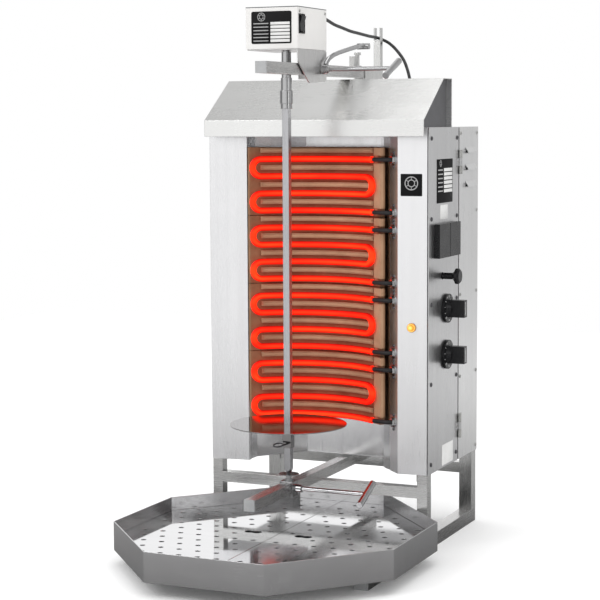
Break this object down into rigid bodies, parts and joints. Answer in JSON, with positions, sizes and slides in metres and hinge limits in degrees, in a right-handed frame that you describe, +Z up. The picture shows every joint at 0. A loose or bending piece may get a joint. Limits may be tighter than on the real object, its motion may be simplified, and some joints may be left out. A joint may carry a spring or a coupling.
{
  "type": "vertical rotisserie broiler",
  "caption": "Upright electric rotisserie broiler with a motor-driven vertical spit in front of a curved radiant heater, adjustable spit arms, side control door and an eight-sided drip tray.",
  "frame": {"origin": "centre of the bounding box on the floor, under the middle of the appliance", "axes": "+X to the user's right, +Y away from the user towards the cabinet's back, +Z up"},
  "size_m": [0.534, 0.752, 0.983],
  "materials": {
    "stainless": "brushed stainless steel",
    "polished": "polished stainless steel",
    "frame_steel": "satin stainless steel tube",
    "tile": "unglazed refractory ceramic",
    "hot_tube": "glowing sheathed heating tube",
    "terminal": "zinc plated steel",
    "lamp": "amber lens, lit",
    "black_plastic": "black moulded plastic",
    "gloss_black": "gloss black plastic",
    "grey_plastic": "grey moulded plastic",
    "flap_grey": "dark grey moulded plastic",
    "ivory": "glazed steatite",
    "motor_grey": "cast aluminium",
    "cable": "black rubber",
    "white_paint": "light grey paint",
    "bearing": "turned steel"
  },
  "bodies": {
    "frame": {"base_rails": "frame_steel", "tube_caps": "grey_plastic", "cross_frame": "frame_steel", "rear_legs": "frame_steel", "lower_arm": "frame_steel", "left_side_panel": "stainless", "chamber_sheet": "polished", "control_box_front": "stainless", "louvre_panel": "stainless", "cabinet_shell": "stainless", "hood": "stainless", "hood_cheeks": "stainless", "tile_1": "tile", "tile_2": "tile", "tile_3": "tile", "tile_4": "tile", "element_1": "hot_tube", "element_2": "hot_tube", "element_3": "hot_tube", "element_4": "hot_tube", "terminal_bushings": "terminal", "pilot_lamp": "lamp", "door_hinges": "terminal", "terminal_block": "ivory", "arm_post": "frame_steel", "upper_arm": "frame_steel", "arm_stop": "frame_steel", "cable_glands": "black_plastic", "motor_cable": "cable", "mains_cable": "cable", "mains_coil": "cable", "mains_plug": "black_plastic"},
    "saddle": {"saddle": "bearing", "foot_bearing": "bearing"},
    "lower_clamp": {"lower_clamp": "bearing"},
    "spit": {"spit_bar": "polished", "meat_plate": "polished", "plate_pin": "terminal"},
    "motor_carriage": {"motor_bracket": "bearing", "motor_housing": "white_paint", "motor_lid": "motor_grey", "gearmotor": "motor_grey"},
    "motor_switch": {"motor_switch": "gloss_black"},
    "upper_clamp": {"upper_clamp": "bearing"},
    "clamp_lever": {"clamp_lever": "bearing"},
    "motor_shaft": {"motor_shaft": "bearing"},
    "drive_sleeve": {"drive_sleeve": "bearing"},
    "door": {"door": "stainless", "door_screws": "terminal", "control_bodies": "black_plastic"},
    "knob_upper": {"knob_upper": "gloss_black"},
    "knob_lower": {"knob_lower": "gloss_black"},
    "push_button": {"push_button": "gloss_black"},
    "flap_front": {"flap_front": "flap_grey"},
    "flap_rear": {"flap_rear": "flap_grey"},
    "rocker_front": {"rocker_front": "gloss_black"},
    "rocker_rear": {"rocker_rear": "gloss_black"},
    "drip_tray": {"drip_tray": "stainless"},
    "insert_left": {"insert_left": "polished"},
    "insert_right": {"insert_right": "polished"}
  },
  "joints": [
    {"name": "saddle_slide", "type": "slide", "parent": "frame", "child": "saddle", "axis": [0, -1, 0], "range_m": [0, 0.1]},
    {"name": "motor_slide", "type": "slide", "parent": "frame", "child": "motor_carriage", "axis": [0, -1, 0], "range_m": [0, 0.1]},
    {"name": "spit_spin", "type": "hinge", "parent": "saddle", "child": "spit", "pos_m": [0, -0.034, 0.15], "axis": [0, 0, 1], "continuous": true},
    {"name": "shaft_spin", "type": "hinge", "parent": "motor_carriage", "child": "motor_shaft", "pos_m": [0, -0.034, 0.9], "axis": [0, 0, 1], "continuous": true},
    {"name": "sleeve_lift", "type": "slide", "parent": "motor_shaft", "child": "drive_sleeve", "axis": [0, 0, 1], "range_m": [0, 0.022]},
    {"name": "lower_clamp_turn", "type": "hinge", "parent": "saddle", "child": "lower_clamp", "pos_m": [0.1, -0.034, 0.127], "axis": [1, 0, 0], "range_deg": [0, 180]},
    {"name": "upper_clamp_turn", "type": "hinge", "parent": "motor_carriage", "child": "upper_clamp", "pos_m": [0.1, 0.042, 0.876], "axis": [1, 0, 0], "range_deg": [0, 180]},
    {"name": "clamp_lever_lift", "type": "hinge", "parent": "motor_carriage", "child": "clamp_lever", "pos_m": [0.0425, 0.042, 0.876], "axis": [1, 0, 0], "range_deg": [0, 50]},
    {"name": "motor_switch_rock", "type": "hinge", "parent": "motor_carriage", "child": "motor_switch", "pos_m": [0.036, -0.0485, 0.953], "axis": [0, -1, 0], "range_deg": [0, 20]},
    {"name": "door_open", "type": "hinge", "parent": "frame", "child": "door", "pos_m": [0.2225, 0.263, 0.45], "axis": [0, 0, 1], "range_deg": [0, 110]},
    {"name": "knob_upper_turn", "type": "hinge", "parent": "door", "child": "knob_upper", "pos_m": [0.2295, 0.194, 0.438], "axis": [1, 0, 0], "range_deg": [0, 270]},
    {"name": "knob_lower_turn", "type": "hinge", "parent": "door", "child": "knob_lower", "pos_m": [0.2295, 0.194, 0.352], "axis": [1, 0, 0], "range_deg": [0, 270]},
    {"name": "push_button_press", "type": "slide", "parent": "door", "child": "push_button", "axis": [-1, 0, 0], "range_m": [0, 0.006], "stiffness_N_per_m": 300},
    {"name": "flap_front_lift", "type": "hinge", "parent": "door", "child": "flap_front", "pos_m": [0.2227, 0.1535, 0.594], "axis": [0, -1, 0], "range_deg": [0, 85]},
    {"name": "flap_rear_lift", "type": "hinge", "parent": "door", "child": "flap_rear", "pos_m": [0.2227, 0.2125, 0.594], "axis": [0, -1, 0], "range_deg": [0, 85]},
    {"name": "rocker_front_rock", "type": "hinge", "parent": "door", "child": "rocker_front", "pos_m": [0.2195, 0.1535, 0.566], "axis": [0, -1, 0], "range_deg": [0, 20]},
    {"name": "rocker_rear_rock", "type": "hinge", "parent": "door", "child": "rocker_rear", "pos_m": [0.2195, 0.2125, 0.566], "axis": [0, -1, 0], "range_deg": [0, 20]},
    {"name": "tray_slide", "type": "slide", "parent": "frame", "child": "drip_tray", "axis": [0, -1, 0], "range_m": [0, 0.28]},
    {"name": "insert_left_lift", "type": "slide", "parent": "drip_tray", "child": "insert_left", "axis": [0, 0, 1], "range_m": [0, 0.035]},
    {"name": "insert_right_lift", "type": "slide", "parent": "drip_tray", "child": "insert_right", "axis": [0, 0, 1], "range_m": [0, 0.035]}
  ],
  "couplings": [
    {"joint": "motor_slide", "follows": "saddle_slide", "ratio": 1},
    {"joint": "shaft_spin", "follows": "spit_spin", "ratio": 1}
  ]
}
